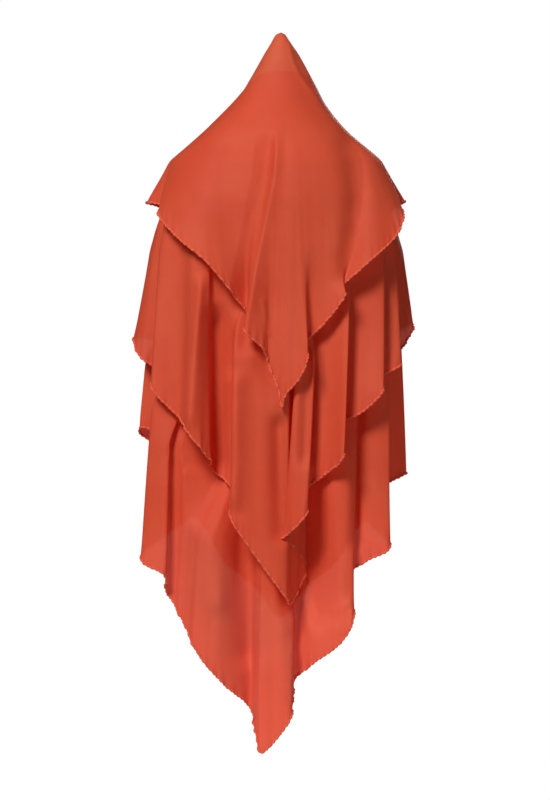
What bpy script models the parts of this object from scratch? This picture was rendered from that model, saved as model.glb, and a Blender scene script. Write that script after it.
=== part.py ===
"""A khimar veil of three chiffon tiers under one peaked hood, hanging from its peak.

Metres, +Z up. The origin is the seat under the peak of the hood, where the veil hangs.
+Y is the way the wearer faces, so the long pointed back of each tier is on the -Y side.
Each tier is one thin wall that runs all the way round and is open below. Its folds come
from a short table: a row is one fold, with the place where it leaves the shoulders and
the place of its foot on the hem. A rolled hem runs along every free edge.
"""

import math
from collections import namedtuple

import bmesh
import bpy
import numpy as np
from mathutils import Vector
from mathutils.bvhtree import BVHTree

# Drops from the peak to the lowest point of each tier, at the back
TOP_DROP = 0.785
MIDDLE_DROP = 1.191
BOTTOM_DROP = 1.500

# Half widths and half depths that the folds of each tier spread to at the hem
TOP_HALF_WIDTH = 0.270
TOP_HALF_DEPTH = 0.200
MIDDLE_HALF_WIDTH = 0.290
MIDDLE_HALF_DEPTH = 0.200
BOTTOM_HALF_WIDTH = 0.290
BOTTOM_HALF_DEPTH = 0.190

# The hood and the shoulders under it
SHOULDER_DROP = 0.270
SHOULDER_HALF_WIDTH = 0.215
SHOULDER_HALF_DEPTH = 0.140
CREASE_HEIGHT = 0.006
CREASE_BEARING = 58.0
CREASE_SPREAD = 16.0

# The cloth, and the clearances between its layers
CLOTH_WALL = 0.0012
HEM_RADIUS = 0.0012
HEM_GAP = 0.0005
SEAM_GAP = 0.0006
LAYER_CLEARANCE = 0.009
SEAM_DEPTH = 0.040

# The edge along which the middle and bottom tiers are sewn inside the hood
SEAM_BACK_DROP = 0.083
SEAM_FRONT_DROP = 0.315
SEAM_STEP = 0.006

# The oval face opening in the hood
FACE_CENTRE_DROP = 0.190
FACE_HALF_WIDTH = 0.068
FACE_HALF_HEIGHT = 0.098

# How far the front of the hood stays smooth below the face, as a share of SHOULDER_DROP
FRONT_SMOOTH = 0.85

# How late a fold spreads on its way down, and how much later where the fall is short
FALL_BEND = 1.2
SHORT_FALL_BEND = 2.0
SHORT_FALL = 0.15

# How finely the walls are divided
COLUMNS_PER_FOLD = 2
SHOULDER_ROWS = (0.0, 0.10, 0.30, 0.52, 0.74, 1.0, 1.22)
SEAM_ROWS = (0.0, 0.11, 0.25, 0.44, 0.70, 1.0)
FALL_ROWS = 5
FACE_SIDES = 28
CORD_SIDES = 4

# The measuring of the room under a layer
FLARE_LENGTH = 0.10
FLARE_SPREAD = 0.6
MAP_TURNS = 180
MAP_ROWS = 180
SPREAD_COUNT = 2

# Outline of the hood and shoulders. height: share of SHOULDER_DROP below the peak.
# left and right: shares of SHOULDER_HALF_WIDTH. back and front: of SHOULDER_HALF_DEPTH.
Section = namedtuple("Section", "height left right back front")
BODY = (
    Section(0.00, 0.03, 0.03, 0.04, 0.04),
    Section(0.02, 0.06, 0.05, 0.08, 0.08),
    Section(0.07, 0.09, 0.09, 0.15, 0.16),
    Section(0.16, 0.16, 0.17, 0.24, 0.27),
    Section(0.26, 0.23, 0.24, 0.33, 0.38),
    Section(0.44, 0.36, 0.36, 0.48, 0.56),
    Section(0.54, 0.47, 0.42, 0.57, 0.66),
    Section(0.63, 0.58, 0.50, 0.65, 0.74),
    Section(0.81, 0.81, 0.69, 0.82, 0.88),
    Section(1.00, 1.05, 0.94, 1.00, 1.00),
    Section(1.15, 1.09, 0.99, 1.06, 1.03),
    Section(1.30, 1.13, 1.04, 1.10, 1.04),
    Section(1.70, 1.21, 1.15, 1.12, 1.06),
    Section(5.60, 1.26, 1.20, 1.12, 1.06),
)

# The folds. bearing: degrees from the middle of the back, towards the wearer's right,
# where the fold leaves the shoulders. across, depth and drop: its foot on the hem, as
# shares of the tier's half width, half depth and drop. Depth is minus at the back.
Fold = namedtuple("Fold", "bearing across depth drop")

TOP_FOLDS = (
    Fold(3, 0.01, -0.95, 1.000),
    Fold(9, 0.21, -0.98, 0.864),
    Fold(13, 0.19, -0.83, 0.828),
    Fold(20, 0.33, -0.85, 0.780),
    Fold(28, 0.49, -0.93, 0.708),
    Fold(33, 0.46, -0.79, 0.684),
    Fold(46, 0.67, -0.80, 0.618),
    Fold(62, 0.88, -0.62, 0.550),
    Fold(76, 0.95, -0.42, 0.487),
    Fold(84, 0.90, -0.22, 0.463),
    Fold(93, 0.96, -0.05, 0.452),
    Fold(105, 0.85, 0.24, 0.476),
    Fold(118, 0.84, 0.52, 0.515),
    Fold(132, 0.60, 0.62, 0.560),
    Fold(146, 0.48, 0.86, 0.630),
    Fold(162, 0.24, 0.76, 0.690),
    Fold(180, 0.00, 0.93, 0.780),
    Fold(197, -0.23, 0.75, 0.700),
    Fold(213, -0.47, 0.87, 0.635),
    Fold(227, -0.61, 0.61, 0.555),
    Fold(241, -0.85, 0.54, 0.515),
    Fold(254, -0.87, 0.25, 0.475),
    Fold(267, -1.05, -0.12, 0.454),
    Fold(276, -0.89, -0.30, 0.465),
    Fold(285, -0.95, -0.47, 0.487),
    Fold(300, -0.80, -0.72, 0.550),
    Fold(317, -0.57, -0.86, 0.617),
    Fold(333, -0.35, -0.84, 0.710),
    Fold(344, -0.23, -0.76, 0.768),
    Fold(351, -0.28, -0.97, 0.800),
    Fold(355, -0.14, -0.90, 0.845),
    Fold(358, -0.10, -0.84, 0.885),
)

MIDDLE_FOLDS = (
    Fold(3, 0.06, -0.85, 1.000),
    Fold(8, 0.15, -0.78, 0.965),
    Fold(11, 0.17, -0.82, 0.932),
    Fold(14, 0.04, -0.88, 0.890),
    Fold(16, 0.03, -0.97, 0.884),
    Fold(20, 0.18, -1.00, 0.845),
    Fold(25, 0.18, -0.80, 0.804),
    Fold(31, 0.31, -0.83, 0.777),
    Fold(38, 0.45, -0.94, 0.744),
    Fold(45, 0.40, -0.74, 0.692),
    Fold(54, 0.58, -0.76, 0.668),
    Fold(62, 0.73, -0.75, 0.632),
    Fold(68, 0.72, -0.60, 0.606),
    Fold(75, 0.86, -0.52, 0.586),
    Fold(82, 0.78, -0.36, 0.572),
    Fold(90, 0.90, -0.20, 0.548),
    Fold(100, 0.95, 0.03, 0.513),
    Fold(112, 0.80, 0.28, 0.540),
    Fold(124, 0.82, 0.52, 0.580),
    Fold(138, 0.58, 0.58, 0.625),
    Fold(150, 0.45, 0.84, 0.690),
    Fold(165, 0.21, 0.74, 0.735),
    Fold(180, 0.00, 0.92, 0.800),
    Fold(195, -0.20, 0.73, 0.740),
    Fold(210, -0.46, 0.84, 0.690),
    Fold(223, -0.59, 0.58, 0.625),
    Fold(237, -0.84, 0.50, 0.580),
    Fold(249, -0.86, 0.25, 0.550),
    Fold(261, -1.05, -0.03, 0.536),
    Fold(271, -1.01, -0.25, 0.571),
    Fold(280, -0.88, -0.40, 0.600),
    Fold(288, -0.94, -0.55, 0.626),
    Fold(297, -0.69, -0.64, 0.678),
    Fold(305, -0.70, -0.80, 0.706),
    Fold(315, -0.52, -0.86, 0.747),
    Fold(323, -0.50, -0.70, 0.766),
    Fold(332, -0.34, -0.71, 0.804),
    Fold(341, -0.37, -0.93, 0.846),
    Fold(351, -0.22, -0.96, 0.905),
)

BOTTOM_FOLDS = (
    Fold(358, -0.13, -0.97, 1.000),
    Fold(7, 0.07, -0.94, 0.952),
    Fold(14, 0.09, -0.74, 0.904),
    Fold(23, 0.21, -0.82, 0.881),
    Fold(33, 0.43, -0.90, 0.848),
    Fold(42, 0.52, -0.86, 0.810),
    Fold(49, 0.46, -0.68, 0.760),
    Fold(58, 0.61, -0.68, 0.737),
    Fold(66, 0.78, -0.60, 0.712),
    Fold(76, 0.46, -0.34, 0.650),
    Fold(88, 0.78, -0.12, 0.628),
    Fold(97, 0.91, 0.02, 0.616),
    Fold(110, 0.74, 0.26, 0.632),
    Fold(123, 0.78, 0.54, 0.662),
    Fold(137, 0.55, 0.60, 0.694),
    Fold(150, 0.41, 0.88, 0.740),
    Fold(165, 0.19, 0.76, 0.775),
    Fold(180, 0.00, 0.94, 0.820),
    Fold(195, -0.19, 0.75, 0.776),
    Fold(210, -0.42, 0.87, 0.740),
    Fold(223, -0.56, 0.60, 0.690),
    Fold(237, -0.80, 0.53, 0.650),
    Fold(250, -0.78, 0.25, 0.600),
    Fold(262, -1.03, -0.02, 0.558),
    Fold(271, -0.90, -0.14, 0.562),
    Fold(282, -0.56, -0.34, 0.650),
    Fold(291, -1.00, -0.60, 0.727),
    Fold(298, -0.86, -0.76, 0.752),
    Fold(306, -0.77, -0.68, 0.785),
    Fold(314, -0.70, -0.82, 0.822),
    Fold(323, -0.58, -0.90, 0.868),
    Fold(333, -0.40, -0.88, 0.908),
    Fold(343, -0.22, -0.74, 0.940),
    Fold(351, -0.18, -0.92, 0.976),
)

# inset: how many layers lie over the tier. fold_start: where its folds begin at the
# back, as a share of SHOULDER_DROP.
Tier = namedtuple("Tier", "name hem_name drop half_width half_depth folds inset fold_start")
TIERS = (
    Tier(
        "top_tier", "top_hem", TOP_DROP, TOP_HALF_WIDTH, TOP_HALF_DEPTH, TOP_FOLDS, 0, 0.55
    ),
    Tier(
        "middle_tier",
        "middle_hem",
        MIDDLE_DROP,
        MIDDLE_HALF_WIDTH,
        MIDDLE_HALF_DEPTH,
        MIDDLE_FOLDS,
        1,
        0.80,
    ),
    Tier(
        "bottom_tier",
        "bottom_hem",
        BOTTOM_DROP,
        BOTTOM_HALF_WIDTH,
        BOTTOM_HALF_DEPTH,
        BOTTOM_FOLDS,
        2,
        0.90,
    ),
)


def clear_scene():
    for item in list(bpy.data.objects):
        bpy.data.objects.remove(item)


def cloth_material(name, colour, roughness):
    """A matt dyed cloth."""
    material = bpy.data.materials.new(name)
    material.use_nodes = True
    shader = material.node_tree.nodes["Principled BSDF"]
    shader.inputs["Base Color"].default_value = (*colour, 1.0)
    shader.inputs["Roughness"].default_value = roughness
    shader.inputs["Metallic"].default_value = 0.0
    return material


def smooth_step(share):
    share = np.clip(share, 0.0, 1.0)
    return share * share * (3.0 - 2.0 * share)


def round_the_loop(rows, per_gap):
    """A smooth closed curve through the rows of a table, per_gap points to each row."""
    before, here = np.roll(rows, 1, axis=0), rows
    after, beyond = np.roll(rows, -1, axis=0), np.roll(rows, -2, axis=0)
    points = []
    for step in range(per_gap):
        t = step / per_gap
        points.append(
            0.5
            * (
                2.0 * here
                + (after - before) * t
                + (2.0 * before - 5.0 * here + 4.0 * after - beyond) * t**2
                + (3.0 * here - before - 3.0 * after + beyond) * t**3
            )
        )
    return np.stack(points, axis=1).reshape(-1, rows.shape[1])


def fold_columns(tier, per_gap):
    """(bearing in radians, foot x, foot y, foot z) of each column of the wall."""
    table = np.array(tier.folds, float)
    turn = np.linspace(0.0, 360.0, len(table), endpoint=False)
    table[:, 0] = (table[:, 0] - turn + 180.0) % 360.0 - 180.0
    fine = round_the_loop(table, per_gap)
    turn = np.linspace(0.0, 360.0, len(fine), endpoint=False)
    bearing = np.radians(fine[:, 0] + turn)
    foot_x = fine[:, 1] * tier.half_width
    foot_y = fine[:, 2] * tier.half_depth
    foot_z = -fine[:, 3] * tier.drop
    return bearing, foot_x, foot_y, foot_z


def body_sizes(height):
    """Half widths to the left and right, and half depths to the back and front."""
    table = np.array(BODY)
    share = -height / SHOULDER_DROP
    scales = (
        SHOULDER_HALF_WIDTH,
        SHOULDER_HALF_WIDTH,
        SHOULDER_HALF_DEPTH,
        SHOULDER_HALF_DEPTH,
    )
    return [
        np.interp(share, table[:, 0], table[:, side + 1]) * scale
        for side, scale in enumerate(scales)
    ]


def body_point(bearing, height, inset):
    """Where the cloth lies on the smooth hood and shoulders."""
    left, right, back, front = body_sizes(height)
    sine, cosine = np.sin(bearing), np.cos(bearing)
    half_width = left + (right - left) * (1.0 + sine) / 2.0
    half_depth = front + (back - front) * (1.0 + cosine) / 2.0
    off = (np.degrees(bearing) - CREASE_BEARING) / CREASE_SPREAD
    rise = smooth_step(-height / (0.3 * SHOULDER_DROP)) * smooth_step(
        (SHOULDER_DROP + height) / (0.5 * SHOULDER_DROP)
    )
    crease = CREASE_HEIGHT * rise * np.exp(-off * off)
    reach = 1.0 + (crease - inset) / np.maximum(np.hypot(half_width * sine, half_depth * cosine), 1e-4)
    reach = np.maximum(reach, 0.0)
    return half_width * sine * reach, -half_depth * cosine * reach


def forward_share(bearing):
    """0 at the middle of the back, 1 at the middle of the front."""
    return ((1.0 - np.cos(bearing)) / 2.0) ** 2


def seam_height(bearing, inset):
    """Height of the edge along which an inner tier is sewn inside the hood."""
    drop = SEAM_BACK_DROP + (SEAM_FRONT_DROP - SEAM_BACK_DROP) * forward_share(bearing)
    return -drop - SEAM_STEP * (inset - 1)


def row_heights(tier, bearing, foot_z):
    """The heights of each column's points, top first: one row of the result is one row of cloth."""
    waist = -SHOULDER_ROWS[-1] * SHOULDER_DROP
    waist = np.maximum(waist, foot_z + 0.012)
    if tier.inset:
        top = seam_height(bearing, tier.inset)
        waist = np.minimum(waist, top - 0.02)
        upper = [top + (waist - top) * share for share in SEAM_ROWS]
    else:
        upper = [
            CLOTH_WALL + (waist - CLOTH_WALL) * row / SHOULDER_ROWS[-1] for row in SHOULDER_ROWS
        ]
    fall = [waist + (foot_z - waist) * share for share in np.linspace(0, 1, FALL_ROWS + 1)[1:]]
    return np.array(upper + fall)


def tier_grid(tier, per_gap):
    """Points of the tier's outer face: [row, column, xyz]."""
    bearing, foot_x, foot_y, foot_z = fold_columns(tier, per_gap)
    heights = row_heights(tier, bearing, foot_z)
    start = -(tier.fold_start + FRONT_SMOOTH * forward_share(bearing)) * SHOULDER_DROP
    fallen = np.clip((start - heights) / (start - foot_z), 0.0, 1.0)
    bend = FALL_BEND + SHORT_FALL_BEND * np.exp((foot_z - start) / SHORT_FALL)
    weight = fallen**bend
    body_x, body_y = body_point(bearing, heights, LAYER_CLEARANCE * tier.inset)
    x = body_x + (foot_x - body_x) * weight
    y = body_y + (foot_y - body_y) * weight
    return np.stack([x, y, heights], axis=-1)


def loop_faces(rows, columns):
    """Faces of a wall whose columns run once round, as corners into row * columns + column."""
    faces = []
    for row in range(rows - 1):
        for column in range(columns):
            beside = (column + 1) % columns
            faces.append(
                (
                    row * columns + column,
                    (row + 1) * columns + column,
                    (row + 1) * columns + beside,
                    row * columns + beside,
                )
            )
    return faces


def with_flare(grid):
    """The grid with one more row below its hem, spreading outwards, to guide the layer under it."""
    hem = grid[-1]
    out = hem[:, :2] / np.maximum(np.linalg.norm(hem[:, :2], axis=1), 1e-6)[:, None]
    fall = np.concatenate([out * FLARE_SPREAD, np.full((len(hem), 1), -1.0)], axis=1)
    return np.concatenate([grid, (hem + fall * FLARE_LENGTH)[None]])


def wall_tree(grid):
    points = [Vector(point) for point in grid.reshape(-1, 3)]
    return BVHTree.FromPolygons(points, loop_faces(*grid.shape[:2]))


def spread(values, mix, wide, tall):
    """Each value mixed with those round it on the map: a loop sideways, with ends above and below."""
    mixed = mix([np.roll(values, step, axis=1) for step in range(-wide, wide + 1)], axis=0)
    padded = np.pad(mixed, ((tall, tall), (0, 0)), mode="edge")
    return mix([padded[step : step + len(values)] for step in range(2 * tall + 1)], axis=0)


def tuck_under(grid, outer, clearance):
    """The grid drawn in towards the middle wherever it isn't clear of the layer over it.

    The drawing in is the same for all points on one line out from the middle, so
    the folds keep their order.
    """
    over, own = wall_tree(with_flare(outer)), wall_tree(grid)
    top, bottom = grid[..., 2].max(), grid[..., 2].min()
    heights = np.linspace(top, bottom, MAP_ROWS)
    turns = np.linspace(-math.pi, math.pi, MAP_TURNS, endpoint=False)
    room = np.zeros((MAP_ROWS, MAP_TURNS))
    reach = np.zeros_like(room)
    for row, height in enumerate(heights):
        for step, turn in enumerate(turns):
            way = Vector((math.sin(turn), -math.cos(turn), 0.0))
            middle = Vector((0.0, 0.0, height))
            hit = over.ray_cast(middle, way)[3]
            room[row, step] = 9.0 if hit is None else hit
            hit = own.ray_cast(middle + way, -way)[3]
            reach[row, step] = 0.0 if hit is None else max(1.0 - hit, 0.0)
    room = spread(room, np.min, SPREAD_COUNT, 0)
    reach = spread(reach, np.max, SPREAD_COUNT, 0)
    share = np.clip((room - clearance) / np.maximum(reach, 1e-3), 0.05, 1.0)
    share = spread(share, np.min, SPREAD_COUNT, 1)
    share = spread(share, np.mean, SPREAD_COUNT, 1)
    turn = np.arctan2(grid[..., 0], -grid[..., 1])
    across = (turn + math.pi) / (2.0 * math.pi) * MAP_TURNS
    down = np.clip((top - grid[..., 2]) / (top - bottom), 0.0, 1.0) * (MAP_ROWS - 1)
    left, above = np.floor(across).astype(int), np.minimum(np.floor(down).astype(int), MAP_ROWS - 2)
    across, down = across - left, down - above
    left, right = left % MAP_TURNS, (left + 1) % MAP_TURNS
    drawn = (share[above, left] * (1 - across) + share[above, right] * across) * (1 - down) + (
        share[above + 1, left] * (1 - across) + share[above + 1, right] * across
    ) * down
    return grid * np.stack([drawn, drawn, np.ones_like(drawn)], axis=-1)


def meet_at_seam(grid, loose, outer, gap):
    """The loose grid brought out to the layer over it along its top edge, where it is sewn."""
    over = wall_tree(outer)
    met = loose.copy()
    for column in range(grid.shape[1]):
        for row in range(grid.shape[0]):
            depth = grid[0, column, 2] - grid[row, column, 2]
            if depth >= SEAM_DEPTH:
                break
            x, y, height = grid[row, column]
            way = Vector((x, y, 0.0)).normalized()
            place, normal = over.ray_cast(Vector((0.0, 0.0, height)), way)[:2]
            slant = max(abs(normal.dot(way)), 0.3)
            reach = math.hypot(place.x, place.y) - gap / slant
            held = 1.0 - smooth_step(depth / SEAM_DEPTH)
            target = np.array([way.x * reach, way.y * reach, height])
            met[row, column] += (target - met[row, column]) * held
    return met


def layered_grids():
    """The three tiers from the outside in, each tucked under the one over it."""
    grids = []
    for tier in TIERS:
        grid = tier_grid(tier, COLUMNS_PER_FOLD)
        if grids:
            loose = tuck_under(grid, grids[-1], LAYER_CLEARANCE)
            grid = meet_at_seam(grid, loose, grids[-1], CLOTH_WALL + SEAM_GAP)
        grids.append(grid)
    return grids


def wall_object(name, grid, material, closed_top):
    """A thin wall through the grid, with its thickness inwards."""
    rows, columns = grid.shape[:2]
    bm = bmesh.new()
    bmesh.ops.create_grid(bm, x_segments=columns, y_segments=rows - 1, size=1.0)
    for vert in bm.verts:
        column = round((vert.co.x + 1.0) / 2.0 * columns) % columns
        row = round((1.0 - vert.co.y) / 2.0 * (rows - 1))
        vert.co = grid[row, column]
    bmesh.ops.remove_doubles(bm, verts=bm.verts, dist=1e-6)
    if closed_top:
        ring = [edge for edge in bm.edges if edge.is_boundary and edge.verts[0].co.z > -0.05 * TOP_DROP]
        bmesh.ops.contextual_create(bm, geom=ring)
    bmesh.ops.triangulate(bm, faces=bm.faces, quad_method="SHORT_EDGE")
    bmesh.ops.recalc_face_normals(bm, faces=bm.faces)
    mesh = bpy.data.meshes.new(name)
    bm.to_mesh(mesh)
    bm.free()
    outwards = sum(p.normal.dot(Vector((p.center.x, p.center.y, 0.0))) * p.area for p in mesh.polygons)
    if outwards < 0:
        mesh.flip_normals()
    mesh.shade_smooth()
    mesh.materials.append(material)
    item = bpy.data.objects.new(name, mesh)
    bpy.context.scene.collection.objects.link(item)
    solidify = item.modifiers.new("wall", "SOLIDIFY")
    solidify.thickness = CLOTH_WALL
    solidify.offset = -1.0
    solidify.use_quality_normals = True
    return item


def hem_path(grid):
    """The line of the rolled hem, just beyond the free edge of the wall."""
    foot = grid[-1]
    down = foot - grid[-2]
    inwards = -foot[:, :2] / np.linalg.norm(foot[:, :2], axis=1)[:, None]
    middle = foot.copy()
    middle[:, :2] += inwards * CLOTH_WALL / 2.0
    edge = np.roll(middle, -1, axis=0) - middle
    edge /= np.linalg.norm(edge, axis=1)[:, None]
    before, after = np.roll(edge, 1, axis=0), edge

    def square_off(along):
        off = down - (down * along).sum(axis=1)[:, None] * along
        return off / np.linalg.norm(off, axis=1)[:, None]

    first, second = square_off(before), square_off(after)
    way = first + second
    way /= np.linalg.norm(way, axis=1)[:, None]
    least = np.minimum((way * first).sum(axis=1), (way * second).sum(axis=1))
    reach = (HEM_RADIUS + HEM_GAP) / np.maximum(least, 0.35)
    return middle + way * reach[:, None]


def cord_object(name, path, material):
    """A thin round cord along a closed path."""
    count = len(path)
    bm = bmesh.new()
    bmesh.ops.create_grid(bm, x_segments=count, y_segments=CORD_SIDES, size=1.0)
    along = np.roll(path, -1, axis=0) - np.roll(path, 1, axis=0)
    along /= np.linalg.norm(along, axis=1)[:, None]
    up = np.array([0.0, 0.0, 1.0])
    side = np.cross(along, up)
    steep = np.linalg.norm(side, axis=1)
    side /= np.maximum(steep, 1e-6)[:, None]
    rise = np.cross(side, along)
    for vert in bm.verts:
        step = round((vert.co.x + 1.0) / 2.0 * count) % count
        turn = (vert.co.y + 1.0) * math.pi
        out = side[step] * math.cos(turn) + rise[step] * math.sin(turn)
        vert.co = path[step] + out * HEM_RADIUS
    bmesh.ops.remove_doubles(bm, verts=bm.verts, dist=1e-6)
    bmesh.ops.triangulate(bm, faces=bm.faces, quad_method="SHORT_EDGE")
    bmesh.ops.recalc_face_normals(bm, faces=bm.faces)
    mesh = bpy.data.meshes.new(name)
    bm.to_mesh(mesh)
    bm.free()
    mesh.shade_smooth()
    mesh.materials.append(material)
    item = bpy.data.objects.new(name, mesh)
    bpy.context.scene.collection.objects.link(item)
    return item


def face_ring(inwards):
    """Points across and up of the oval, drawn in by a margin."""
    turns = np.linspace(0.0, 2.0 * math.pi, FACE_SIDES, endpoint=False)
    across = (FACE_HALF_WIDTH - inwards) * np.cos(turns)
    up = (FACE_HALF_HEIGHT - inwards) * np.sin(turns) - FACE_CENTRE_DROP
    return across, up


def cut_face_opening(hood):
    """Cuts the oval face opening through the front of the hood."""
    across, up = face_ring(0.0)
    bm = bmesh.new()
    bmesh.ops.create_circle(bm, cap_ends=True, segments=FACE_SIDES, radius=1.0)
    bm.verts.ensure_lookup_table()
    for vert in bm.verts:
        step = round(math.atan2(vert.co.y, vert.co.x) / (2.0 * math.pi) * FACE_SIDES) % FACE_SIDES
        vert.co = (across[step], 0.0, up[step])
    made = bmesh.ops.extrude_face_region(bm, geom=bm.faces[:])
    moved = [item for item in made["geom"] if isinstance(item, bmesh.types.BMVert)]
    bmesh.ops.translate(bm, verts=moved, vec=(0.0, 2.0 * SHOULDER_HALF_DEPTH, 0.0))
    bmesh.ops.recalc_face_normals(bm, faces=bm.faces)
    mesh = bpy.data.meshes.new("face_cutter")
    bm.to_mesh(mesh)
    bm.free()
    cutter = bpy.data.objects.new("face_cutter", mesh)
    bpy.context.scene.collection.objects.link(cutter)
    cutter.hide_render = True
    cutter.display_type = "WIRE"
    cut = hood.modifiers.new("face opening", "BOOLEAN")
    cut.operation = "DIFFERENCE"
    cut.solver = "EXACT"
    cut.object = cutter


def face_hem_path(grid):
    """The line of the rolled hem inside the rim of the face opening."""
    wall = wall_tree(grid)
    margin = HEM_RADIUS + HEM_GAP
    path = []
    for x, z in zip(*face_ring(margin)):
        place, normal = wall.ray_cast(Vector((x, 0.0, z)), Vector((0.0, 1.0, 0.0)))[:2]
        path.append((x, place.y - CLOTH_WALL / 2.0 / max(abs(normal.y), 0.3), z))
    return np.array(path)


def main():
    clear_scene()
    coral = cloth_material("coral_chiffon", (0.68, 0.10, 0.055), 0.8)
    thread = cloth_material("coral_rolled_hem", (0.62, 0.075, 0.04), 0.85)
    grids = layered_grids()
    for tier, grid in zip(TIERS, grids):
        item = wall_object(tier.name, grid, coral, closed_top=not tier.inset)
        cord_object(tier.hem_name, hem_path(grid), thread)
        if not tier.inset:
            cut_face_opening(item)
            cord_object("face_hem", face_hem_path(grid), thread)


main()
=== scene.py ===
"""The looks of a khimar veil: three sheer chiffon tiers under one peaked hood.

Metres, +Z up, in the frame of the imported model. The origin is the seat under the peak,
+Y is the way the wearer faces, and the long pointed back of each tier is on the -Y side.
The drops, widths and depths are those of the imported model. So are most rows of the fold
tables, but some at the back are added or moved here, and the folds are made deeper. Each
tier is one fine sheet of cloth with its ripples and creases, and has a rolled hem along
each free edge.
"""

import math
from collections import namedtuple

import bmesh
import bpy
import numpy as np
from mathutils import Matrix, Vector
from mathutils.bvhtree import BVHTree


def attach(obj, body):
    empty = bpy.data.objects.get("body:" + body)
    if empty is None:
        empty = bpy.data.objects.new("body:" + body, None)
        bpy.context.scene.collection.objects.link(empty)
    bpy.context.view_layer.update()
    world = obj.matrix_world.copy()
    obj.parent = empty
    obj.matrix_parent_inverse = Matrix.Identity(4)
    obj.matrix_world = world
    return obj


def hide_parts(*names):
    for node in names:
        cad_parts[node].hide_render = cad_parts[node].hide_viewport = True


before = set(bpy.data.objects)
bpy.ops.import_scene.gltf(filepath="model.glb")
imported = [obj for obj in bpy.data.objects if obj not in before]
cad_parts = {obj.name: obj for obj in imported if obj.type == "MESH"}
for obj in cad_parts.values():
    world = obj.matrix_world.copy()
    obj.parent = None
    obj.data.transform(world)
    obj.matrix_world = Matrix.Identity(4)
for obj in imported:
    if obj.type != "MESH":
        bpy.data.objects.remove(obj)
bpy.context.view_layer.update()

# Drops from the peak to the lowest point of each tier, at the back
TOP_DROP = 0.785
MIDDLE_DROP = 1.191
BOTTOM_DROP = 1.500

# Half widths and half depths that the folds of each tier spread to at the hem
TOP_HALF_WIDTH = 0.270
TOP_HALF_DEPTH = 0.200
MIDDLE_HALF_WIDTH = 0.290
MIDDLE_HALF_DEPTH = 0.200
BOTTOM_HALF_WIDTH = 0.290
BOTTOM_HALF_DEPTH = 0.190

# The hood and the shoulders under it
SHOULDER_DROP = 0.270
SHOULDER_HALF_WIDTH = 0.215
SHOULDER_HALF_DEPTH = 0.140
CREASE_HEIGHT = 0.006
CREASE_BEARING = 58.0
CREASE_SPREAD = 16.0
OUTLINE_STEP = 0.002
OUTLINE_EASE = 9

# The clearances between the layers, and how deep the sewn edge brings a layer out
LAYER_CLEARANCE = 0.009
SEAM_GAP = 0.0018
SEAM_DEPTH = 0.040

# The edge along which the middle and bottom tiers are sewn inside the hood
SEAM_BACK_DROP = 0.083
SEAM_FRONT_DROP = 0.315
SEAM_STEP = 0.006
# SEAM_LINE: half width of the soft step from the paler hood to the painted shade below the sewn
# edge
SEAM_LINE = 0.0012

# The oval face opening in the hood
FACE_CENTRE_DROP = 0.190
FACE_HALF_WIDTH = 0.068
FACE_HALF_HEIGHT = 0.098

# How far the front of the hood stays smooth, and how late a fold spreads on its way down
FRONT_SMOOTH = 0.85
FALL_BEND = 1.2
SHORT_FALL_BEND = 2.0
SHORT_FALL = 0.15
LATEST_FOLD = 0.8

# How many folds wide the eased sweep of a hem is, and how much deeper its folds are than that
FOLD_EASE = 1.5
FOLD_DEEPEN = 1.35

# How a crease fades at its ends, how sharp its edge is, and how near the side it may come
CREASE_FADE = 0.13
CREASE_EDGE = 0.0015
CREASE_SIDE = 0.03
FAR_OFF = 9.0

# How finely the cloth is divided: rows above and below its waist, closer together at the top
COLUMNS_PER_FOLD = 13
UPPER_ROWS = 60
FALL_ROWS = 120
WAIST = 1.22
TOP_ROWS_CLOSER = 1.15
LEAST_FALL = 0.012
LEAST_UPPER = 0.02
PEAK_HEIGHT = 0.0012

# The rolled hem: a flat roll of cloth that turns over and over along the edge
HEM_HALF_WIDTH = 0.0031
HEM_HALF_THICKNESS = 0.0017
HEM_TWIST = 0.022
HEM_STEP = 0.0016
HEM_SIDES = 8
FACE_HEM_POINTS = 96

# The measuring of the room under a layer
FLARE_LENGTH = 0.10
FLARE_SPREAD = 0.6
MAP_TURNS = 360
MAP_ROWS = 300
SPREAD_COUNT = 3

# Outline of the hood and shoulders. height: share of SHOULDER_DROP below the peak.
# left and right: shares of SHOULDER_HALF_WIDTH. back and front: of SHOULDER_HALF_DEPTH.
Section = namedtuple("Section", "height left right back front")
BODY = (
    Section(0.00, 0.03, 0.03, 0.04, 0.04),
    Section(0.02, 0.06, 0.05, 0.08, 0.08),
    Section(0.07, 0.09, 0.09, 0.15, 0.16),
    Section(0.16, 0.16, 0.17, 0.24, 0.27),
    Section(0.26, 0.23, 0.24, 0.33, 0.38),
    Section(0.44, 0.36, 0.36, 0.48, 0.56),
    Section(0.54, 0.47, 0.42, 0.57, 0.66),
    Section(0.63, 0.58, 0.50, 0.65, 0.74),
    Section(0.81, 0.81, 0.69, 0.82, 0.88),
    Section(1.00, 1.05, 0.94, 1.00, 1.00),
    Section(1.15, 1.09, 0.99, 1.06, 1.03),
    Section(1.30, 1.13, 1.04, 1.10, 1.04),
    Section(1.70, 1.21, 1.15, 1.12, 1.06),
    Section(5.60, 1.26, 1.20, 1.12, 1.06),
)

# The folds. bearing: degrees from the middle of the back, towards the wearer's right,
# where the fold leaves the shoulders. across, depth and drop: its foot on the hem, as
# shares of the tier's half width, half depth and drop. Depth is minus at the back.
# late: the share of the fall that the cloth runs smooth before the fold begins.
Fold = namedtuple("Fold", "bearing across depth drop late", defaults=[0.0])

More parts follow.
